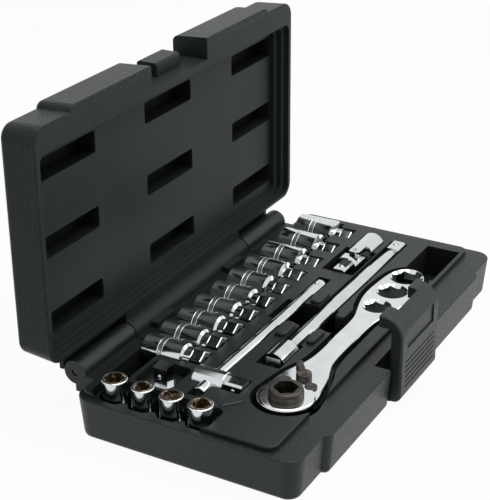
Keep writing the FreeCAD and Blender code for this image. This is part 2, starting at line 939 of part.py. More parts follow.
lid_apron = box(
    "lid_apron",
    "2 * hinge_reach",
    "hinge_setback + web_root",
    "apron_thickness",
    y=f"{BACK} + (hinge_setback - web_root) / 2",
    z=f"{HINGE_Z} + knuckle_radius + fit",
)
heels = []
for side, sign in (("left", "-"), ("right", "")):
    heels.append(
        box(
            f"heel_{side}",
            "heel_width",
            "heel_thickness",
            "hinge_setback - heel_gap",
            f"{sign}heel_spacing / 2",
            HINGE_Y,
            f"{HINGE_Z} - hinge_setback + heel_gap",
        )
    )
lid_bore = cylinder(
    "lid_hinge_bore",
    "pin_radius + pin_clearance",
    "2 * hinge_split + 2",
    "-hinge_split - 1",
    HINGE_Y,
    HINGE_Z,
    "x",
)
lid_joined = fuse("lid_joined", lid_hollowed, lug, lid_knuckle, lid_web, lid_apron, *heels)
lid_shell = cut("lid_shell", lid_joined, lid_bore)
opened = "(open_angle * 1 deg)"
place(
    lid_shell,
    "0",
    f"{HINGE_Y} - {HINGE_Y} * cos{opened} - {HINGE_Z} * sin{opened}",
    f"{HINGE_Z} + {HINGE_Y} * sin{opened} - {HINGE_Z} * cos{opened}",
)
lid_shell.Placement = Placement(Vector(), Rotation(Vector(-1, 0, 0), number("open_angle")))
lid_shell.setExpression("Placement.Rotation.Angle", formula("open_angle"))
parts["lid_shell"] = lid_shell

# clasp: a moulded hook that swings on a pin low on the front, with a bare panel and grip grooves
clasp_reach = "(clasp_front + lip_setback)"
clasp_face = number(CLASP_FACE)
clasp_top = number("clasp_height")
clasp_block = box(
    "clasp_block",
    "clasp_width",
    clasp_reach,
    "clasp_height - clasp_foot",
    y=f"{CLASP_FACE} + {clasp_reach} / 2",
    z="clasp_foot",
)
clasp_bend = soften(
    "clasp_bend",
    clasp_block,
    "clasp_shoulder",
    lambda edge: level(edge, clasp_top) and edge.BoundBox.YMax < clasp_face + 0.01,
)
clasp_foot = number("clasp_foot")
clasp_toe = soften(
    "clasp_toe",
    clasp_bend,
    "clasp_heel",
    lambda edge: level(edge, clasp_foot) and edge.BoundBox.YMax < clasp_face + 0.01,
)
clasp_hollow = box(
    "clasp_hollow",
    "clasp_width + 2",
    clasp_reach,
    "clasp_height - lip_height",
    y=f"{CLASP_FACE} + clasp_thickness + {clasp_reach} / 2",
)
clasp_hook = cut("clasp_hook", clasp_toe, clasp_hollow)
clasp_body = soften(
    "clasp_body",
    clasp_hook,
    "clasp_edge",
    lambda edge: edge.BoundBox.XLength < 0.01 and edge.BoundBox.YMin < clasp_face + 0.01,
)
clasp_bearing = cylinder(
    "clasp_bearing", "clasp_knuckle", "clasp_width", "-clasp_width / 2", CLASP_Y, "clasp_pin_height", "x"
)
clasp_cuts = [
    box(
        "lug_gap",
        "lug_width + 2 * lug_room",
        clasp_reach,
        "lip_height + 2",
        y=f"{CLASP_FACE} + clasp_front + hook_setback + {clasp_reach} / 2",
        z="clasp_height - lip_height - 1",
    ),
    box(
        "clasp_panel",
        "panel_width",
        "2 * panel_depth",
        "panel_height",
        y=CLASP_FACE,
        z="clasp_height - panel_drop - panel_height",
    ),
    cylinder(
        "clasp_pin_bore",
        "clasp_pin_radius + pin_clearance",
        "clasp_width + 2",
        "-clasp_width / 2 - 1",
        CLASP_Y,
        "clasp_pin_height",
        "x",
    ),
]
for groove in range(6):
    clasp_cuts.append(
        box(
            f"grip_groove_{COUNT[groove]}",
            "grip_width",
            "2 * grip_depth",
            "grip_groove",
            y=CLASP_FACE,
            z=f"grip_start + {groove} * grip_spacing",
        )
    )
parts["clasp"] = cut("clasp", fuse("clasp_joined", clasp_body, clasp_bearing), *clasp_cuts)

# long sockets: they lie in a row with the nut end to the back and the driving hexagon to the front
socket_ends = [number("row_back"), number("row_back - socket_length")]


def socket_end(edge):
    """True for an edge on either end face of a long socket."""
    bounds = edge.BoundBox
    return bounds.YLength < 0.01 and any(abs(bounds.YMin - end) < 0.01 for end in socket_ends)


for word in ROW:
    x, z, outside = SOCKET_X[word], SOCKET_Z[word], f"round_{word} / 2"
    front = "row_back - socket_length"
    barrel_end = f"row_back - {BARREL_LENGTH}"
    barrel = cylinder(f"barrel_{word}", outside, BARREL_LENGTH, x, "row_back", z, "-y")
    shoulder = cone(
        f"shoulder_{word}", outside, "neck_round / 2", "shoulder_length", x, barrel_end, z, "-y"
    )
    neck = cylinder(
        f"neck_{word}", "neck_round / 2", "neck_length + shoulder_length", x, barrel_end, z, "-y"
    )
    stem = prism(f"stem_{word}", 6, "drive_hex", "hex_length + neck_length", x, front, z, "y", 30)
    form = fuse(f"socket_form_{word}", barrel, shoulder, neck, stem)
    bevelled = soften(f"socket_bevelled_{word}", form, "edge_bevel", socket_end)
    nut = prism(f"nut_{word}", 6, f"nut_{word}", "nut_depth + 1", x, "row_back + 1", z, "-y", 30)
    through = cylinder(f"bore_{word}", "bore / 2", "socket_length + 2", x, "row_back + 1", z, "-y")
    parts[f"socket_{word}"] = cut(f"socket_{word}", bevelled, nut, through)

# upright sockets: they stand in round pits with a slimmer nut end up and a square drive below
for word in UPRIGHT:
    y = UPRIGHT_Y[word]
    drive = cylinder(
        f"upright_drive_{word}", "upright_round / 2", "upright_drive_length", "upright_x", y, UPRIGHT_FOOT
    )
    taper = cone(
        f"upright_taper_{word}",
        "upright_round / 2",
        f"upright_nose_{word} / 2",
        "upright_taper",
        "upright_x",
        y,
        f"{UPRIGHT_FOOT} + upright_drive_length",
    )
    nose = cylinder(
        f"upright_nose_{word}", f"upright_nose_{word} / 2", "upright_length", "upright_x", y, UPRIGHT_FOOT
    )
    top_edge = number("base_height + tool_top")
    form = fuse(f"upright_form_{word}", drive, taper, nose)
    bevelled = soften(f"upright_bevelled_{word}", form, "edge_bevel", lambda edge: level(edge, top_edge))
    nut = prism(
        f"upright_nut_{word}",
        6,
        f"upright_nut_{word}",
        "upright_nut_depth + 1",
        "upright_x",
        y,
        "base_height + tool_top - upright_nut_depth",
    )
    square = box(
        f"upright_square_{word}",
        "drive_square + square_fit",
        "drive_square + square_fit",
        "square_length + 1",
        "upright_x",
        y,
        f"{UPRIGHT_FOOT} - 1",
    )
    through = cylinder(f"upright_bore_{word}", "bore / 2", "upright_length", "upright_x", y, UPRIGHT_FOOT)
    parts[f"upright_socket_{word}"] = cut(f"upright_socket_{word}", bevelled, nut, square, through)


def detent(tool, x, y, z, along):
    """A spring ball in the face of a driving square and the hole it sinks into, both along a direction."""
    depth = "ball_sunk + ball_radius + ball_travel + ball_fit"
    shift = {"x": (1, 0, 0), "-z": (0, 0, -1)}[along]
    start = [f"({place_at}) - ({way})" for place_at, way in zip((x, y, z), shift)]
    middle = [f"({place_at}) + ({way}) * ball_sunk" for place_at, way in zip((x, y, z), shift)]
    hole = cylinder(f"{tool}_ball_hole", "ball_radius + ball_fit", f"1 + {depth}", *start, along)
    parts[f"{tool}_ball"] = ball(f"{tool}_ball", "ball_radius", *middle)
    return hole


# adapter: a hexagon below, a round collar, and a driving square with a spring ball on top
square_foot = "(base_height + tool_top - square_length)"
adapter_hex = prism("adapter_hex", 6, "drive_hex", "hex_length + 1", "adapter_x", "adapter_y", ADAPTER_FOOT)
adapter_collar = cylinder(
    "adapter_collar",
    "adapter_round / 2",
    "adapter_length - square_length - hex_length",
    "adapter_x",
    "adapter_y",
    f"{ADAPTER_FOOT} + hex_length",
)
adapter_square = common(
    "adapter_square",
    box(
        "adapter_block",
        "drive_square",
        "drive_square",
        "square_length",
        "adapter_x",
        "adapter_y",
        square_foot,
    ),
    cylinder("adapter_round_off", "square_round", "square_length", "adapter_x", "adapter_y", square_foot),
)
parts["drive_adapter"] = cut(
    "drive_adapter",
    fuse("adapter_form", adapter_hex, adapter_collar, adapter_square),
    detent("adapter", "adapter_x - drive_square / 2", "adapter_y", f"{square_foot} + square_length / 2", "x"),
)

# sliding bar handle: a plain bar through a cross head that carries a driving square
bar_blank = cylinder("bar_blank", "bar_round / 2", "bar_length", "bar_start", "bar_y", BAR_Z, "x")
bar_tipped = soften("bar_tipped", bar_blank, "bar_tip", lambda edge: edge.BoundBox.XLength < 0.01)
stop_z = f"{BAR_Z} + bar_round / 2 - stop_sunk"
stop_hole = ball("stop_hole", "stop_radius", "stop_x", "bar_y", stop_z)
parts["tbar_bar"] = cut("tbar_bar", bar_tipped, stop_hole)
parts["tbar_stop"] = ball("tbar_stop", "stop_radius", "stop_x", "bar_y", stop_z)
head_front = "(bar_y - head_length / 2)"
head_barrel = cylinder(
    "head_barrel", "head_round / 2", "head_length", "head_x", "bar_y + head_length / 2", BAR_Z, "-y"
)
head_barrel = soften("head_soft", head_barrel, "edge_bevel", lambda edge: edge.BoundBox.YLength < 0.01)
head_square = common(
    "head_square",
    box(
        "head_block",
        "drive_square",
        "square_length + 1",
        "drive_square",
        "head_x",
        f"{head_front} + (1 - square_length) / 2",
        f"{BAR_Z} - drive_square / 2",
    ),
    cylinder(
        "head_round_off", "square_round", "square_length + 1", "head_x", f"{head_front} + 1", BAR_Z, "-y"
    ),
)
parts["tbar_head"] = cut(
    "tbar_head",
    fuse("head_form", head_barrel, head_square),
    cylinder(
        "head_bore", "bar_round / 2 + bar_fit", "2 * head_round", "head_x - head_round", "bar_y", BAR_Z, "x"
    ),
    detent("tbar", "head_x - drive_square / 2", f"{head_front} - square_length / 2", BAR_Z, "x"),
)

# extension: a sleeve with a square hole, a round shank that narrows, and a driving square at the far end
shank_start = "(extension_start + sleeve_length + sleeve_taper)"
extension_end = "(extension_start + extension_length)"
sleeve = cylinder(
    "sleeve", "sleeve_round / 2", "sleeve_length", "extension_start", "extension_y", EXTENSION_Z, "x"
)
sleeve_neck = cone(
    "sleeve_neck",
    "sleeve_round / 2",
    "shank_round / 2",
    "sleeve_taper",
    "extension_start + sleeve_length",
    "extension_y",
    EXTENSION_Z,
    "x",
)
shank_end = f"({extension_end} - square_length - shank_taper)"
shank = cylinder(
    "shank",
    "shank_round / 2",
    f"{shank_end} - {shank_start}",
    shank_start,
    "extension_y",
    EXTENSION_Z,
    "x",
)
shank_point = cone(
    "shank_point",
    "shank_round / 2",
    "shank_end_round / 2",
    "shank_taper",
    shank_end,
    "extension_y",
    EXTENSION_Z,
    "x",
)
extension_square = common(
    "extension_square",
    box(
        "extension_block",
        "square_length + 1",
        "drive_square",
        "drive_square",
        f"{extension_end} - (square_length + 1) / 2",
        "extension_y",
        f"{EXTENSION_Z} - drive_square / 2",
    ),
    cylinder(
        "extension_round_off",
        "square_round",
        "square_length + 1",
        f"{extension_end} - square_length - 1",
        "extension_y",
        EXTENSION_Z,
        "x",
    ),
)
parts["extension_bar"] = cut(
    "extension_bar",
    fuse("extension_form", sleeve, sleeve_neck, shank, shank_point, extension_square),
    box(
        "extension_hole",
        "square_depth + 1",
        "drive_square + square_fit",
        "drive_square + square_fit",
        "extension_start + (square_depth - 1) / 2",
        "extension_y",
        f"{EXTENSION_Z} - (drive_square + square_fit) / 2",
    ),
    detent(
        "extension",
        f"{extension_end} - square_length / 2",
        "extension_y",
        f"{EXTENSION_Z} + drive_square / 2",
        "-z",
    ),
)

# universal joint: a fork with a driving square and a forked sleeve, crossed at right angles on a block
fork_slot = "(cross_block + 2 * fork_gap)"
joint_end = "(joint_start + joint_length)"


def fork(name, barrel_start, barrel_end, root, pin):
    """A round barrel with two flat round-ended ears that reach past the cross block's sides to a pin."""
    length = f"({barrel_end}) - ({barrel_start})"
    barrel = cylinder(f"{name}_barrel", "joint_round / 2", length, barrel_start, "joint_y", JOINT_Z, "x")
    wide = "(joint_round + 2)"
    low = f"{JOINT_Z} - {wide} / 2"
    middle = f"({CROSS_X} + ({root})) / 2"
    if pin == "y":
        plate_foot = f"{JOINT_Z} - fork_arm / 2"
        plate = box(f"{name}_plate", "fork_root", wide, "fork_arm", middle, "joint_y", plate_foot)
        ear = cylinder(f"{name}_ear", "fork_arm / 2", wide, CROSS_X, f"joint_y - {wide} / 2", JOINT_Z, "y")
        slot = box(f"{name}_slot", "2 * fork_root", fork_slot, wide, CROSS_X, "joint_y", low)
    else:
        plate = box(f"{name}_plate", "fork_root", "fork_arm", wide, middle, "joint_y", low)
        ear = cylinder(f"{name}_ear", "fork_arm / 2", wide, CROSS_X, "joint_y", low)
        slot_foot = f"{JOINT_Z} - {fork_slot} / 2"
        slot = box(f"{name}_slot", "2 * fork_root", wide, fork_slot, CROSS_X, "joint_y", slot_foot)
    bar = cylinder(
        f"{name}_bar", "joint_round / 2", "2 * fork_root", f"{CROSS_X} - fork_root", "joint_y", JOINT_Z, "x"
    )
    blade = common(f"{name}_blade", bar, fuse(f"{name}_blank", plate, ear))
    return fuse(f"{name}_form", barrel, cut(f"{name}_ears", blade, slot))


fork_start = "(joint_start + square_length)"
fork_foot = f"({CROSS_X} - fork_root)"
sleeve_foot = f"({CROSS_X} + fork_root)"
fork_form = fork("joint_fork", fork_start, fork_foot, fork_foot, "y")
sleeve_form = fork("joint_sleeve", sleeve_foot, joint_end, sleeve_foot, "z")
joint_square = common(
    "joint_square",
    box(
        "joint_block_square",
        "square_length + 1",
        "drive_square",
        "drive_square",
        "joint_start + (square_length + 1) / 2",
        "joint_y",
        f"{JOINT_Z} - drive_square / 2",
    ),
    cylinder("joint_round_off", "square_round", "square_length + 1", "joint_start", "joint_y", JOINT_Z, "x"),
)
pin_reach = "joint_round / 2 - fork_gap"
parts["joint_fork"] = cut(
    "joint_fork",
    fuse("joint_fork_whole", fork_form, joint_square),
    cylinder(
        "fork_pin_hole",
        "cross_pin + pin_clearance",
        "joint_round + 2",
        CROSS_X,
        "joint_y - joint_round / 2 - 1",
        JOINT_Z,
        "y",
    ),
    detent("joint", "joint_start + square_length / 2", "joint_y", f"{JOINT_Z} + drive_square / 2", "-z"),
)
parts["joint_sleeve"] = cut(
    "joint_sleeve",
    sleeve_form,
    cylinder(
        "sleeve_pin_hole",
        "cross_pin + pin_clearance",
        "joint_round + 2",
        CROSS_X,
        "joint_y",
        f"{JOINT_Z} - joint_round / 2 - 1",
    ),
    box(
        "joint_hole",
        "square_depth + 1",
        "drive_square + square_fit",
        "drive_square + square_fit",
        f"{joint_end} - (square_depth - 1) / 2",
        "joint_y",
        f"{JOINT_Z} - (drive_square + square_fit) / 2",
    ),
)
parts["joint_block"] = cut(
    "joint_block",
    box(
        "cross_cube",
        "cross_block",
        "cross_block",
        "cross_block",
        CROSS_X,
        "joint_y",
        f"{JOINT_Z} - cross_block / 2",
    ),
    cylinder(
        "block_hole_across",
        "cross_pin + pin_seat",
        "cross_block + 2",
        CROSS_X,
        "joint_y - cross_block / 2 - 1",
        JOINT_Z,
        "y",
    ),
    cylinder(
        "block_hole_up",
        "cross_pin + pin_seat",
        "cross_block + 2",
        CROSS_X,
        "joint_y",
        f"{JOINT_Z} - cross_block / 2 - 1",
    ),
)
parts["joint_pin_across"] = cylinder(
    "joint_pin_across", "cross_pin", f"2 * ({pin_reach})", CROSS_X, f"joint_y - ({pin_reach})", JOINT_Z, "y"
)
stub_foot = "(cross_pin + 2 * pin_clearance)"
stub = f"{pin_reach} - {stub_foot}"
parts["joint_pin_stubs"] = fuse(
    "joint_pin_stubs",
    cylinder("stub_low", "cross_pin", stub, CROSS_X, "joint_y", f"{JOINT_Z} - ({pin_reach})"),
    cylinder("stub_high", "cross_pin", stub, CROSS_X, "joint_y", f"{JOINT_Z} + {stub_foot}"),
)

# ratchet: a round head that runs into a flat handle with a slim waist and three six-sided ring ends
handle_blank = handle_form("handle_blank", "0", HANDLE_FOOT, HANDLE_TOP)
handle_edges = (number(HANDLE_FOOT), number(HANDLE_TOP))
handle_soft = soften(
    "handle_soft",
    handle_blank,
    "handle_round",
    lambda edge: edge.Length > 50 and any(level(edge, height) for height in handle_edges),
)
head_blank = pit("head_blank", "ratchet_head", "ratchet_x", "ratchet_y", RATCHET_FOOT)
head_blank.setExpression("Height", formula("ratchet_head_height"))
head_soft = soften("head_rounded", head_blank, "handle_round", lambda edge: edge.BoundBox.ZLength < 0.01)
ratchet_cuts = [
    cylinder(
        "collar_bore",
        "collar_round / 2 + collar_fit",
        "ratchet_head_height + 2",
        "ratchet_x",
        "ratchet_y",
        f"{RATCHET_FOOT} - 1",
    ),
    cylinder(
        "lever_bore",
        "lever_pivot + pin_clearance",
        "lever_depth + 1",
        "lever_x",
        "ratchet_y",
        f"{HANDLE_TOP} - lever_depth",
    ),
]
for number_of_hole, word in enumerate(HANDLE_HOLES):
    x = f"handle_hole_x + {number_of_hole} * handle_hole_spacing"
    ratchet_cuts.append(
        prism(
            f"ring_{word}",
            6,
            f"handle_nut_{word}",
            "handle_height + 2",
            x,
            "ratchet_y",
            f"{HANDLE_FOOT} - 1",
            spin=30,
        )
    )
    ratchet_cuts.append(
        cone(
            f"ring_flare_{word}",
            f"handle_nut_{word} / 2 + ring_flare - ring_flare_depth",
            f"handle_nut_{word} / 2 + ring_flare + fit",
            "ring_flare_depth + fit",
            x,
            "ratchet_y",
            f"{HANDLE_TOP} - ring_flare_depth",
        )
    )
screws = []
for side, sign in (("low", "-"), ("high", "+")):
    y = f"ratchet_y {sign} screw_spread / 2"
    for name, more, found in (("seat", "pin_seat", ratchet_cuts), ("screw", "0", screws)):
        found.append(
            cylinder(
                f"{name}_head_{side}",
                f"screw_radius + {more}",
                f"screw_head + {more}",
                "screw_x",
                y,
                f"{HANDLE_TOP} - screw_head",
            )
        )
        found.append(
            cylinder(
                f"{name}_shank_{side}",
                f"screw_shank + {more}",
                "screw_depth",
                "screw_x",
                y,
                f"{HANDLE_TOP} - screw_depth",
            )
        )
parts["ratchet_body"] = cut("ratchet_body", fuse("ratchet_form", handle_soft, head_soft), *ratchet_cuts)
screw_slots = []
for side, sign in (("low", "-"), ("high", "+")):
    y = f"ratchet_y {sign} screw_spread / 2"
    for way, length, width in (("long", "screw_cross", "screw_slot"), ("wide", "screw_slot", "screw_cross")):
        screw_slots.append(
            box(
                f"{way}_slot_{side}",
                length,
                width,
                "screw_slot + 1",
                "screw_x",
                y,
                f"{HANDLE_TOP} - screw_slot",
            )
        )
parts["cover_screws"] = cut("cover_screws", fuse("screw_blanks", *screws), *screw_slots)
collar_tube = cylinder(
    "collar_tube",
    "collar_round / 2",
    "ratchet_head_height + tool_top - ratchet_top",
    "ratchet_x",
    "ratchet_y",
    RATCHET_FOOT,
)
collar_top = number("base_height + tool_top")
collar_soft = soften("collar_soft", collar_tube, "handle_round", lambda edge: level(edge, collar_top))
parts["ratchet_collar"] = cut(
    "ratchet_collar",
    collar_soft,
    prism(
        "collar_hex",
        6,
        "drive_hex + 2 * square_fit",
        "ratchet_head_height + tool_top",
        "ratchet_x",
        "ratchet_y",
        f"{RATCHET_FOOT} - 1",
    ),
)
lever_foot = f"{HANDLE_TOP} + lever_gap"
lever_disc = cylinder("lever_disc", "lever_radius", "lever_height", z=lever_foot)
lever_finger = slab(
    "lever_finger",
    "lever_tail",
    "lever_width",
    "lever_width / 2 - lever_gap",
    "lever_height",
    "lever_tail / 2",
    z=lever_foot,
)
lever_top = number(f"{lever_foot} + lever_height")
lever_form = fuse("lever_form", lever_disc, lever_finger)
lever_soft = soften("lever_soft", lever_form, "edge_bevel", lambda edge: level(edge, lever_top))
lever_post = cylinder("lever_post", "lever_pivot", "lever_depth", z=f"{lever_foot} - lever_depth + lever_gap")
ratchet_lever = fuse("ratchet_lever", lever_soft, lever_post)
parts["ratchet_lever"] = place(ratchet_lever, "lever_x", "ratchet_y", spin=number("lever_turn"))

doc.recompute()
for piece in doc.Objects:
    if "Invalid" in piece.State or "Error" in piece.State:
        raise RuntimeError(f"{piece.Label} did not compute: {piece.State}")
for name, piece in parts.items():
    if piece.Shape.isNull() or not piece.Shape.isValid():
        raise RuntimeError(f"{name} has no valid shape")
    piece.Label = name
    piece.Shape.exportStep(f"parts/{name}.step")
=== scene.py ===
import math

import bpy
import numpy as np
from mathutils import Matrix, Vector


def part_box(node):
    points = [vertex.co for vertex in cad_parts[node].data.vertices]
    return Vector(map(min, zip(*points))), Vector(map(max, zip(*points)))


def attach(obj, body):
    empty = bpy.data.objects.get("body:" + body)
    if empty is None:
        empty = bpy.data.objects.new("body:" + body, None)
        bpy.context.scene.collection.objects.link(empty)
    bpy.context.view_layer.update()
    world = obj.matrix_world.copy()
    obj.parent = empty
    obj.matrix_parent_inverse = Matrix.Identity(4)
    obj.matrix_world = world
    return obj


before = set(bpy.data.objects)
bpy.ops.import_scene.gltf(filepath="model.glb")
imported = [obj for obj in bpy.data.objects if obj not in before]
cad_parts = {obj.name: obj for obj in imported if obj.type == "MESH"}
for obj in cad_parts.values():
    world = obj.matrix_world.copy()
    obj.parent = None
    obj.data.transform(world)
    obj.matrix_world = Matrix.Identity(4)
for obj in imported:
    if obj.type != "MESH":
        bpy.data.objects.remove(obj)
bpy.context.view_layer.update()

# Case shell and tray: one charcoal moulding with a pebbled skin, drawn as a shell and its fitted blocks.
# The plastic is dyed through, mottled in slow patches and dulled by the grain.
CHARCOAL = (0.0105, 0.0125, 0.0122)
PLASTIC_SHINE = 0.33
PLASTIC_SHEEN = (0.87, 1.0, 0.98, 1)
PATCH_SCALE = 28.0
SPECK_SCALE = 900.0
GRAIN_PITCH = 0.0009
GRAIN_DEPTH = 0.00025
TRAY_BLOCKS = [
    "tray_uprights",
    "tray_row_left",
    "tray_row_right",
    "tray_bars",
    "tray_ratchet",
    "tray_handle",
]


def feed(node, feeds):
    """A shader node's sockets, each given a value or a link."""
    for name, value in feeds.items():
        if isinstance(value, bpy.types.NodeSocket):
            node.id_data.links.new(value, node.inputs[name])
        else:
            node.inputs[name].default_value = value


def wire(tree, kind, feeds, **options):
    """One shader node of a kind, with its options set and its sockets fed."""
    made = tree.nodes.new("ShaderNode" + kind)
    for name, value in options.items():
        setattr(made, name, value)
    feed(made, feeds)
    return made


def reckon(tree, operation, *values):
    """Values or links put through one step of arithmetic."""
    return wire(tree, "Math", dict(enumerate(values)), operation=operation).outputs[0]


def spread(tree, source, low, high, out_low, out_high):
    """A value moved from one range to another and held there."""
    feeds = {"Value": source, "From Min": low, "From Max": high, "To Min": out_low, "To Max": out_high}
    return wire(tree, "MapRange", feeds).outputs["Result"]


def tint(tree, share, first, second):
    """A colour between two, by a share. Each of the two is a colour or a link."""
    feeds = {"Factor": share}
    for name, colour in (("A", first), ("B", second)):
        feeds[name] = (*colour, 1) if isinstance(colour, tuple) else colour
    return wire(tree, "Mix", feeds, data_type="RGBA").outputs["Result"]


def noise(tree, place, scale, detail):
    """Soft noise between none and one, at a scale."""
    return wire(tree, "TexNoise", {"Vector": place, "Scale": scale, "Detail": detail}).outputs["Fac"]


def bumped(tree, height, strength, depth):
    """A surface direction that follows a height."""
    return wire(tree, "Bump", {"Height": height, "Strength": strength, "Distance": depth}).outputs["Normal"]


def finish_named(name):
    """A new node material, with its tree, its surface shader and its Object coordinates."""
    material = bpy.data.materials.new(name)
    material.use_nodes = True
    tree = material.node_tree
    place = wire(tree, "TexCoord", {}).outputs["Object"]
    return material, tree, tree.nodes["Principled BSDF"], place


def moulded_plastic(name, colour, roughness, grain, play=0.075):
    """Dyed plastic with a pebbled mould skin: cells a millimetre across, broken up by finer noise,
    over slow changes of tone, and a play of gloss from cell to cell."""
    material, tree, skin, place = finish_named(name)
    mottle = spread(tree, noise(tree, place, PATCH_SCALE, 5.0), 0.3, 0.7, 0.0, 1.0)
    cell_feeds = {"Vector": place, "Scale": 1 / GRAIN_PITCH, "Smoothness": 0.6}
    cells = wire(tree, "TexVoronoi", cell_feeds, feature="SMOOTH_F1").outputs["Distance"]
    pebble = reckon(tree, "ADD", cells, noise(tree, place, SPECK_SCALE, 3.0))
    speckle = spread(tree, pebble, 0.5, 1.1, 0.0, 1.0)
    share = reckon(tree, "MULTIPLY_ADD", mottle, 0.55, reckon(tree, "MULTIPLY", speckle, 0.45))
    dark = tuple(0.80 * part for part in colour)
    pale = tuple(1.28 * part for part in colour)
    feeds = {
        "Base Color": tint(tree, share, dark, pale),
        "Roughness": spread(tree, pebble, 0.4, 1.2, roughness - play, roughness + play),
        "Normal": bumped(tree, pebble, grain, GRAIN_DEPTH),
        "Specular IOR Level": PLASTIC_SHINE,
        "Specular Tint": PLASTIC_SHEEN,
    }
    feed(skin, feeds)
    return material


def dress(material, *nodes):
    """CAD nodes shown in a material."""
    for node in nodes:
        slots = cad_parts[node].data.materials
        if len(slots):
            slots[0] = material
        else:
            slots.append(material)


dress(moulded_plastic("charcoal_shell", CHARCOAL, 0.36, 0.36), "base_shell")
tray_plastic = moulded_plastic("charcoal_tray", CHARCOAL, 0.40, 0.22)
dress(tray_plastic, *TRAY_BLOCKS)

# Tray ridge: a low rounded rib of the same moulding, from the last upright's pit to the ratchet's well.
# It is half sunk in the deck.
RIDGE_START = (-0.0812, -0.0064)
RIDGE_END = (-0.0736, -0.0129)
RIDGE_WIDTH = 0.0021
RIDGE_RISE = 0.00075


def grid_piece(name, points, material, body):
    """A mesh from a grid of points, rows by columns, joined to a skin that closes around its columns.
    Where the first and last rows differ, each of them is closed by a flat end."""
    rows, columns = points.shape[:2]
    index = np.arange(rows * columns).reshape(rows, columns)
    index = np.concatenate([index, index[:, :1]], 1)
    ends = []
    if not np.allclose(points[0], points[-1]):
        ends = [index[0, -2::-1].tolist(), index[-1, :-1].tolist()]
    faces = np.stack([index[:-1, :-1], index[:-1, 1:], index[1:, 1:], index[1:, :-1]], -1).reshape(-1, 4)
    mesh = bpy.data.meshes.new(name)
    mesh.from_pydata(points.reshape(-1, 3).tolist(), [], faces.tolist() + ends)
    mesh.shade_smooth()
    mesh.materials.append(material)
    piece = bpy.data.objects.new(name, mesh)
    bpy.context.scene.collection.objects.link(piece)
    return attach(piece, body)


def low_rib(start, end, foot):
    """A flattened tube along a straight line. Its section is an ellipse, and toward both ends it closes
    as the eighth-power round of the way along it does."""
    way = np.linspace(-1, 1, 41)[:, None]
    swell = np.maximum(0.02, (1 - way**8) ** 0.5)
    turn = np.linspace(0, 2 * np.pi, 32, endpoint=False)
    line = np.array(end) - np.array(start)
    aside = np.array([-line[1], line[0]]) / np.hypot(*line) * RIDGE_WIDTH / 2
    middle = (np.array(start) + np.array(end)) / 2
    across = swell * np.cos(turn)
    plan = [middle[axis] + way * line[axis] / 2 + across * aside[axis] for axis in (0, 1)]
    return np.stack([*plan, foot + RIDGE_RISE * swell * np.sin(turn)], -1)


deck_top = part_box("tray_uprights")[1].z
ridge = low_rib(RIDGE_START, RIDGE_END, deck_top)
grid_piece("tray_ridge", ridge, tray_plastic, "base")

# Hinge and clasp pins: drawn steel wire in dark grey, pressed into the shell's outer knuckles.
# Only their ends and the splits of the hinge let them show.
PIN_GREY = (0.055, 0.055, 0.057)
STREAK_SCALE = (60.0, 1400.0, 1400.0)
STREAK_DEPTH = 0.00003


def drawn_steel(name, colour, roughness):
    """Bare steel with fine streaks and a slow change of gloss."""
    material, tree, skin, place = finish_named(name)
    streaks = wire(tree, "Mapping", {"Vector": place, "Scale": STREAK_SCALE}).outputs["Vector"]
    grain = noise(tree, streaks, 1.0, 4.0)
    dark = tuple(0.75 * part for part in colour)
    feeds = {
        "Base Color": tint(tree, grain, dark, colour),
        "Roughness": spread(tree, grain, 0.3, 0.7, roughness - 0.06, roughness + 0.08),
        "Normal": bumped(tree, grain, 0.12, STREAK_DEPTH),
        "Metallic": 1.0,
    }
    feed(skin, feeds)
    return material


dress(drawn_steel("pin_steel", PIN_GREY, 0.32), "hinge_pin", "clasp_pin")

# Lid: the same charcoal plastic, with a stepped recess and nine stiffening slots inside.
# It stands open on its hinge, with its outer walls pebbled, its inside almost smooth, and its slots duller
# and coloured darker as painted shade.
LID_CHARCOAL = (0.0264, 0.0314, 0.0305)
# Painted shade: a darker colour for the insides of the slots, where shade falls.
SLOT_SHADE_CHARCOAL = (0.0165, 0.0190, 0.0184)
LID_SHINE = 0.10
SLOT_SHINE = 0.06
INSIDE_GRAIN = 0.06
WALL_GRAIN = 0.75
LID_WALL = 0.0984
LID_EDGE = 0.1252
WALL_FADE = 0.0005
SLOT_MOUTH = 0.0654
MOUTH_FADE = 0.0006
SLOT_END = 0.0744
SLOT_SIDE = 0.0944
SLOT_LOW = 0.0240
SLOT_HIGH = 0.1192
SLOT_FADE = 0.0004


def first_of(tree, kind):
    """The first node of a kind in a finished material."""
    return next(node for node in tree.nodes if node.type == kind)


def fed(skin, name):
    """The link that already feeds a shader's socket."""
    return skin.inputs[name].links[0].from_socket


lid_plastic = moulded_plastic("charcoal_lid", LID_CHARCOAL, 0.33, 0.5, 0.015)
lid_tree = lid_plastic.node_tree
lid_skin = lid_tree.nodes["Principled BSDF"]
lid_place = first_of(lid_tree, "TEX_COORD").outputs["Object"]
lid_axes = wire(lid_tree, "SeparateXYZ", {"Vector": lid_place}).outputs
lid_depth = lid_axes["Y"]
lid_height = lid_axes["Z"]
lid_side = reckon(lid_tree, "ABSOLUTE", lid_axes["X"])
outer_grains = [
    spread(lid_tree, way, limit - WALL_FADE, limit + WALL_FADE, INSIDE_GRAIN, WALL_GRAIN)
    for way, limit in ((lid_side, LID_WALL), (lid_height, LID_EDGE))
]
feed(first_of(lid_tree, "BUMP"), {"Strength": reckon(lid_tree, "MAXIMUM", *outer_grains)})
# The slot mask marks the slots' insides, which get the painted shade colour and a lower shine.
slot_mask = spread(lid_tree, lid_depth, SLOT_MOUTH, SLOT_MOUTH + MOUTH_FADE, 0.0, 1.0)
for way, limit, before, after in (
    (lid_depth, SLOT_END, 1.0, 0.0),
    (lid_side, SLOT_SIDE, 1.0, 0.0),
    (lid_height, SLOT_HIGH, 1.0, 0.0),
    (lid_height, SLOT_LOW, 0.0, 1.0),
):
    within = spread(lid_tree, way, limit, limit + SLOT_FADE, before, after)
    slot_mask = reckon(lid_tree, "MULTIPLY", slot_mask, within)
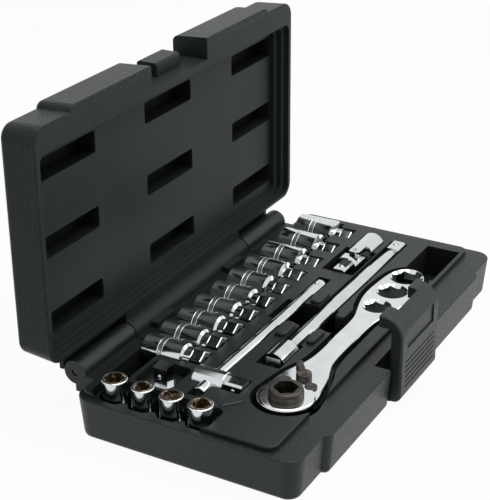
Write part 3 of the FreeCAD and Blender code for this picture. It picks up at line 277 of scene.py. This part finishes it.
lid_feeds = {
    "Base Color": tint(lid_tree, slot_mask, fed(lid_skin, "Base Color"), SLOT_SHADE_CHARCOAL),
    "Specular IOR Level": spread(lid_tree, slot_mask, 0.0, 1.0, LID_SHINE, SLOT_SHINE),
}
feed(lid_skin, lid_feeds)
dress(lid_plastic, "lid_shell")

# Clasp: a moulded hook on its own pin, in plastic a little paler than the shell's.
# Its panel is left bare, and six grooves below it give a thumb some hold.
CLASP_GREY = (0.015, 0.0175, 0.0172)
dress(moulded_plastic("clasp_plastic", CLASP_GREY, 0.38, 0.30), "clasp")

# Long sockets: turned steel with mirror chrome, each with a rolled band between two lines.
# They lie in the row of troughs with the driving hexagon to the front.
SOCKETS = ["one", "two", "three", "four", "five", "six", "seven", "eight", "nine", "ten"]
CHROME = (0.68, 0.70, 0.71)
HAZE_SCALE = 120.0
HAIR_TURN = (0.3, 0.5, 0.4)
HAIR_SCALE = (90.0, 2600.0, 2600.0)
HAIR_DEPTH = 0.00002
BAND_WIDTH = 0.0026
BAND_PROUD = 0.00009
BAND_FROM_BACK = 0.0088
BAND_TEETH = 44
BAND_SLANT = 14
POINTS_PER_TOOTH = 6


def chrome_plate(name, roughness, colour=CHROME):
    """Bright plating over polished steel: soft hazy patches, and hairline marks from use."""
    material, tree, skin, place = finish_named(name)
    haze = noise(tree, place, HAZE_SCALE, 6.0)
    hair_feeds = {"Vector": place, "Rotation": HAIR_TURN, "Scale": HAIR_SCALE}
    marks = noise(tree, wire(tree, "Mapping", hair_feeds).outputs["Vector"], 1.0, 2.0)
    dull = tuple(0.90 * part for part in colour)
    hazed = spread(tree, haze, 0.35, 0.7, 0.0, 0.06)
    marked = spread(tree, marks, 0.62, 0.72, roughness, roughness + 0.10)
    feeds = {
        "Base Color": tint(tree, spread(tree, haze, 0.35, 0.65, 0.0, 1.0), dull, colour),
        "Roughness": reckon(tree, "ADD", hazed, marked),
        "Normal": bumped(tree, marks, 0.05, HAIR_DEPTH),
        "Metallic": 1.0,
    }
    feed(skin, feeds)
    return material


def rolled_band(radius, width, middle):
    """A closed ring about the Y axis. Around it, the height is the product of two slanting waves, which
    gives crossed diamonds; along it, the section rises from inside the barrel to two plain lips and back."""
    turn = np.linspace(0, 2 * np.pi, BAND_TEETH * POINTS_PER_TOOTH, endpoint=False)
    half = np.array([0.5, 0.5, 0.46, 0.40, 0.36, 0.24, 0.12])
    along = np.concatenate([half, [0.0], -half[::-1]])
    half_lift = np.array([-2.0, 0.0, 0.9, 0.9, 0.1, 0.0, 0.0])
    lift = np.concatenate([half_lift, [0.0], half_lift[::-1]])
    rolled = (np.abs(along) < 0.3).astype(float)
    wave = BAND_TEETH * turn[None, :] / 2
    slant = along[:, None] * BAND_SLANT
    diamonds = np.sin(wave + slant) * np.sin(wave - slant)
    reach = radius + BAND_PROUD * (lift[:, None] + rolled[:, None] * (0.5 + 0.5 * diamonds))
    ring = np.stack([reach * np.cos(turn), along[:, None] * width + 0 * turn, reach * np.sin(turn)], -1)
    ring = np.concatenate([ring, ring[:1]], 0)
    return ring + np.array(middle)


mirror_chrome = chrome_plate("mirror_chrome", 0.07)
band_chrome = chrome_plate("rolled_chrome", 0.22)
for word in SOCKETS:
    low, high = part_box(f"socket_{word}")
    dress(mirror_chrome, f"socket_{word}")
    middle = ((low.x + high.x) / 2, high.y - BAND_FROM_BACK, (low.z + high.z) / 2)
    band = rolled_band((high.x - low.x) / 2, BAND_WIDTH, middle)
    grid_piece(f"band_{word}", band, band_chrome, f"socket_{word}")

# Upright sockets: short chromed sockets that stand in scalloped pits with the nut end up.
# An oily film gives the unplated bore its brown patches, and the golden patches among them are painted
# glints.
UPRIGHTS = ["one", "two", "three", "four"]
UPRIGHT_NUTS = (0.0070, 0.0058, 0.0062, 0.0068)
OIL_BROWN = (0.085, 0.050, 0.024)
# Painted glints: a bright gold that stands in for light caught on the bore's facets.
GLINT_GOLD = (0.95, 0.82, 0.60)
OIL_GLINT_SCALE = 420.0
OIL_ROUGHNESS = 0.20
OIL_METAL = 0.35
OIL_MARGIN = 0.0006
OIL_FADE = 0.0004


def bored_chrome(name, centre, bore):
    """Mirror plating outside, and within a distance of the upright axis bare steel, oil-brown with patches of
    painted golden glints.
    """
    material = chrome_plate(name, 0.08)
    tree = material.node_tree
    skin = tree.nodes["Principled BSDF"]
    place = first_of(tree, "TEX_COORD").outputs["Object"]
    flat = wire(tree, "VectorMath", {0: place, 1: (1.0, 1.0, 0.0)}, operation="MULTIPLY").outputs["Vector"]
    away = wire(tree, "VectorMath", {0: flat, 1: (*centre, 0.0)}, operation="DISTANCE").outputs["Value"]
    inside = spread(tree, away, bore, bore + OIL_FADE, 1.0, 0.0)
    # Noise patches where the bore's oil brown turns to the painted glint gold.
    glint_patches = spread(tree, noise(tree, place, OIL_GLINT_SCALE, 2.0), 0.50, 0.64, 0.0, 1.0)
    oil_with_glints = tint(tree, glint_patches, OIL_BROWN, GLINT_GOLD)
    dull_feeds = {"Factor": inside, "A": fed(skin, "Roughness"), "B": OIL_ROUGHNESS}
    feeds = {
        "Base Color": tint(tree, inside, fed(skin, "Base Color"), oil_with_glints),
        "Roughness": wire(tree, "Mix", dull_feeds, data_type="FLOAT").outputs["Result"],
        "Metallic": spread(tree, inside, 0.0, 1.0, 1.0, OIL_METAL),
    }
    feed(skin, feeds)
    return material


for word, nut in zip(UPRIGHTS, UPRIGHT_NUTS):
    low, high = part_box(f"upright_socket_{word}")
    centre = ((low.x + high.x) / 2, (low.y + high.y) / 2)
    bored = bored_chrome(f"upright_chrome_{word}", centre, nut / 2 + OIL_MARGIN)
    dress(bored, f"upright_socket_{word}")

# Adapter, sliding handle, extension and universal joint: forged tools with a softer satin plating.
# Each driving square carries a ground steel ball on a spring.
SATIN = (0.66, 0.69, 0.69)
BALL_GREY = (0.56, 0.56, 0.57)
CROSS_PIN_GREY = (0.50, 0.50, 0.51)
satin_chrome = chrome_plate("satin_chrome", 0.10, SATIN)
bright_chrome = chrome_plate("bright_chrome", 0.11)
ball_steel = drawn_steel("ground_ball", BALL_GREY, 0.14)
cross_pin_steel = drawn_steel("cross_pin_steel", CROSS_PIN_GREY, 0.25)
dress(bright_chrome, "drive_adapter", "tbar_head")
dress(satin_chrome, "tbar_bar", "extension_bar", "joint_sleeve", "joint_fork", "joint_block")
dress(ball_steel, "adapter_ball", "tbar_ball", "extension_ball", "joint_ball", "tbar_stop")
dress(cross_pin_steel, "joint_pin_across", "joint_pin_stubs")

# Ratchet: a forged handle with three ring ends and a round head that holds the turning collar.
# The collar, with its thin flange, the reversing lever and the two screws are blackened steel.
RATCHET_CHROME = (0.72, 0.74, 0.75)
BLACKENED = (0.052, 0.047, 0.041)
RUB_SCALE = 450.0
RUB_DEPTH = 0.00004
FLANGE_DROP = 0.0033
FLANGE_REACH = (-0.0002, 0.00012, 0.00016, 0.00016, 0.00012, -0.0002)
FLANGE_RISE = (0.0, 0.0, 0.0002, 0.0012, 0.0014, 0.0015)


def blackened_steel(name, colour, roughness):
    """Oiled black oxide: a brownish dark metal, rubbed a little paler in patches."""
    material, tree, skin, place = finish_named(name)
    rub = noise(tree, place, RUB_SCALE, 5.0)
    pale = tuple(1.9 * part for part in colour)
    feeds = {
        "Base Color": tint(tree, spread(tree, rub, 0.45, 0.75, 0.0, 1.0), colour, pale),
        "Roughness": spread(tree, rub, 0.3, 0.7, roughness - 0.08, roughness + 0.10),
        "Normal": bumped(tree, rub, 0.15, RUB_DEPTH),
        "Metallic": 0.75,
    }
    feed(skin, feeds)
    return material


def turned_ring(centre, radii, heights):
    """A closed ring about an upright axis: radii and heights run once around its section, which is turned
    about the axis."""
    turn = np.linspace(0, 2 * np.pi, 96, endpoint=False)
    reach = np.append(radii, radii[0])[:, None]
    rise = np.append(heights, heights[0])[:, None]
    ring = np.stack([reach * np.cos(turn), reach * np.sin(turn), rise + 0 * turn], -1)
    return ring + np.array([*centre, 0.0])


dress(chrome_plate("ratchet_chrome", 0.06, RATCHET_CHROME), "ratchet_body")
dark_oxide = blackened_steel("dark_oxide", BLACKENED, 0.40)
dress(dark_oxide, "ratchet_collar", "ratchet_lever", "cover_screws")
low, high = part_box("ratchet_collar")
collar_centre = ((low.x + high.x) / 2, (low.y + high.y) / 2)
flange_radii = (high.x - low.x) / 2 + np.array(FLANGE_REACH)
flange_heights = high.z - FLANGE_DROP + np.array(FLANGE_RISE)
flange = turned_ring(collar_centre, flange_radii, flange_heights)
grid_piece("collar_flange", flange, dark_oxide, "ratchet_collar")

# Reversing lever's dial: a ribbed cap pressed on the lever's disc, in the same blackened steel.
# Its ribs run out from the middle, so that a thumb can turn it.
LEVER_AXIS = (-0.0477, -0.0255)
DIAL_RADIUS = 0.0031
DIAL_RIBS = 14
DIAL_RISE = 0.00045
POINTS_PER_RIB = 10
DIAL_REACH = (1.0, 1.0, 0.97, 0.90, 0.75, 0.55, 0.38, 0.30, 0.24)
DIAL_SHARE = (-0.4, 0.35, 0.75, 1.0, 1.0, 1.0, 1.0, 0.55, 0.5)
DIAL_RIBBED = (0.0, 0.25, 0.7, 1.0, 1.0, 1.0, 0.7, 0.0, 0.0)


def ribbed_dial(axis, top):
    """A cap about an upright axis. Its rings step in from the rim to the middle and rise by their share of
    the cap's rise, less a clipped wave around the axis, which cuts the grooves between the ribs."""
    turn = np.linspace(0, 2 * np.pi, DIAL_RIBS * POINTS_PER_RIB, endpoint=False)
    reach, share, ribbed = (np.array(rings)[:, None] for rings in (DIAL_REACH, DIAL_SHARE, DIAL_RIBBED))
    wave = np.clip(1.6 * np.cos(DIAL_RIBS * turn), -1, 1)[None, :]
    height = top + DIAL_RISE * (share - 0.45 * ribbed * (0.5 - 0.5 * wave))
    radius = DIAL_RADIUS * reach + 0 * wave
    return np.stack([axis[0] + radius * np.cos(turn), axis[1] + radius * np.sin(turn), height], -1)


dial = ribbed_dial(LEVER_AXIS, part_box("ratchet_lever")[1].z)
grid_piece("lever_dial", dial, dark_oxide, "ratchet_lever")

# Cover screws' heads: two flat blackened discs with a crossed slot, set into the ratchet's face.
# Each lies over its screw and is let a little into the head's edge.
CAP_RADIUS = 0.00256
CAP_SINK = 0.0007
CAP_BEVEL = 0.00012
CAP_RISE = 0.00030
CROSS_REACH = 0.0016
CROSS_WIDTH = 0.00034
CROSS_DEPTH = 0.00022


def screw_cap(centre, top):
    """A round plug about an upright axis: its side rises from a sunk foot to a small bevel, and its face
    is a disc of rings whose points drop where they lie in either arm of a cross."""
    turn = np.linspace(0, 2 * np.pi, 96, endpoint=False)
    face = np.linspace(0.94, 0.02, 24)
    reach = CAP_RADIUS * np.concatenate([[1.0, 1.0], face])[:, None] + 0 * turn
    height = top + np.concatenate([[-CAP_SINK, -CAP_BEVEL], 0 * face])[:, None] + 0 * turn
    across, along = reach * np.cos(turn), reach * np.sin(turn)
    near_arm = np.minimum(np.abs(across), np.abs(along)) < CROSS_WIDTH
    height = height - CROSS_DEPTH * (near_arm & (reach < CROSS_REACH))
    return np.stack([centre[0] + across, centre[1] + along, height], -1)


cap_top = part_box("ratchet_body")[1].z + CAP_RISE
low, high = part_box("cover_screws")
screw_x = (low.x + high.x) / 2
screw_radius = (high.x - low.x) / 2
for side, screw_y in (("low", low.y + screw_radius), ("high", high.y - screw_radius)):
    cap = screw_cap((screw_x, screw_y), cap_top)
    grid_piece(f"screw_cap_{side}", cap, dark_oxide, "ratchet")

# Floor and backdrop: a plain white sheet that goes out of sight and keeps the case's soft shadow.
# To the camera and in the chrome it is white paper, and to other light an ordinary pale floor.
WHITE = (1, 1, 1, 1)
PAPER = (0.92, 0.92, 0.92, 1)
ROOM = (0.93, 0.96, 1.0, 1)
ROOM_STRENGTH = 0.20
FLOOR_GLOW = 0.95
FLOOR_DROP = 0.0002
FLOOR_SPOKES = 48
FLOOR_RINGS = (0.001, 0.3, 1.0, 4.0)


def seen_ray(tree, share):
    """A share for rays that the camera sees, straight or in gloss or glass, and nothing for others."""
    path = wire(tree, "LightPath", {}).outputs
    seen = reckon(tree, "MAXIMUM", path["Is Camera Ray"], path["Is Glossy Ray"])
    seen = reckon(tree, "MAXIMUM", seen, path["Is Transmission Ray"])
    return reckon(tree, "MULTIPLY", seen, share)


floor_material, floor_tree = finish_named("white_paper")[:2]
paper = wire(floor_tree, "BsdfDiffuse", {"Color": PAPER}).outputs[0]
glow = wire(floor_tree, "Emission", {"Color": WHITE, "Strength": 1.0}).outputs[0]
floor_mix = wire(floor_tree, "MixShader", {0: seen_ray(floor_tree, FLOOR_GLOW), 1: paper, 2: glow})
feed(floor_tree.nodes["Material Output"], {"Surface": floor_mix.outputs[0]})
spokes = np.linspace(0, 2 * np.pi, FLOOR_SPOKES, endpoint=False)
rings = np.array(FLOOR_RINGS)[:, None]
disc = np.stack([rings * np.cos(spokes), rings * np.sin(spokes), 0 * rings * spokes - FLOOR_DROP], -1)
corners = np.arange(len(FLOOR_RINGS) * FLOOR_SPOKES).reshape(-1, FLOOR_SPOKES)
corners = np.concatenate([corners, corners[:, :1]], 1)
quads = np.stack([corners[:-1, :-1], corners[1:, :-1], corners[1:, 1:], corners[:-1, 1:]], -1).reshape(-1, 4)
floor_mesh = bpy.data.meshes.new("floor")
floor_mesh.from_pydata(disc.reshape(-1, 3).tolist(), [], quads.tolist() + [list(range(FLOOR_SPOKES))])
floor_mesh.materials.append(floor_material)
floor = bpy.data.objects.new("floor", floor_mesh)
bpy.context.scene.collection.objects.link(floor)

world = bpy.data.worlds.new("studio")
bpy.context.scene.world = world
world.use_nodes = True
world_tree = world.node_tree
room = wire(world_tree, "Background", {"Color": ROOM, "Strength": ROOM_STRENGTH}).outputs[0]
sheet = wire(world_tree, "Background", {"Color": WHITE, "Strength": 1.0}).outputs[0]
world_mix = wire(world_tree, "MixShader", {0: seen_ray(world_tree, 1.0), 1: room, 2: sheet})
feed(world_tree.nodes["World Output"], {"Surface": world_mix.outputs[0]})

# Lamps: one wide soft box overhead, which also lights the white sheet, and a weaker one from the front right.
AIM = Vector((0.0, 0.0, 0.03))
for name, place, size, watts in (
    ("soft_box", (0.10, -0.20, 1.05), 1.0, 7.5),
    ("front_box", (0.75, -0.95, 0.70), 0.7, 2.4),
):
    lamp = bpy.data.lights.new(name, "AREA")
    lamp.size = size
    lamp.energy = watts
    holder = bpy.data.objects.new(name, lamp)
    holder.location = place
    holder.rotation_euler = (AIM - Vector(place)).to_track_quat("-Z", "Y").to_euler()
    bpy.context.scene.collection.objects.link(holder)

# Camera: the photograph's own view, from high at the front left, with a long lens.
# The lens's middle lies a little off the middle of the picture, in pixels of the photograph.
VIEW_TURN = math.radians(-60.423)
VIEW_RISE = math.radians(25.364)
VIEW_ROLL = math.radians(-0.443)
VIEW_DISTANCE = 0.58033
VIEW_AIM = Vector((-0.006902, 0.023055, 0.050008))
IMAGE_SIDE = 500.0
IMAGE_MIDDLE = (245.0, 250.0)
LENS_MIDDLE = (247.043, 247.024)
FOCAL_PIXELS = 1365.27
SENSOR_WIDTH = 36.0
forward = Vector(
    (
        -math.sin(VIEW_TURN) * math.cos(VIEW_RISE),
        math.cos(VIEW_TURN) * math.cos(VIEW_RISE),
        -math.sin(VIEW_RISE),
    )
)
level = forward.cross(Vector((0, 0, 1))).normalized()
upright = level.cross(forward)
right = level * math.cos(VIEW_ROLL) + upright * math.sin(VIEW_ROLL)
up = upright * math.cos(VIEW_ROLL) - level * math.sin(VIEW_ROLL)
camera_data = bpy.data.cameras.new("photo_camera")
camera_data.sensor_width = SENSOR_WIDTH
camera_data.lens = FOCAL_PIXELS * SENSOR_WIDTH / IMAGE_SIDE
camera_data.shift_x = (IMAGE_MIDDLE[0] - LENS_MIDDLE[0]) / IMAGE_SIDE
camera_data.shift_y = (LENS_MIDDLE[1] - IMAGE_MIDDLE[1]) / IMAGE_SIDE
camera_data.clip_start = 0.01
camera = bpy.data.objects.new("photo_camera", camera_data)
turned = Matrix((right, up, -forward)).transposed().to_4x4()
camera.matrix_world = Matrix.Translation(VIEW_AIM - forward * VIEW_DISTANCE) @ turned
bpy.context.scene.collection.objects.link(camera)
bpy.context.scene.camera = camera

bpy.context.scene.view_settings.view_transform = "Standard"
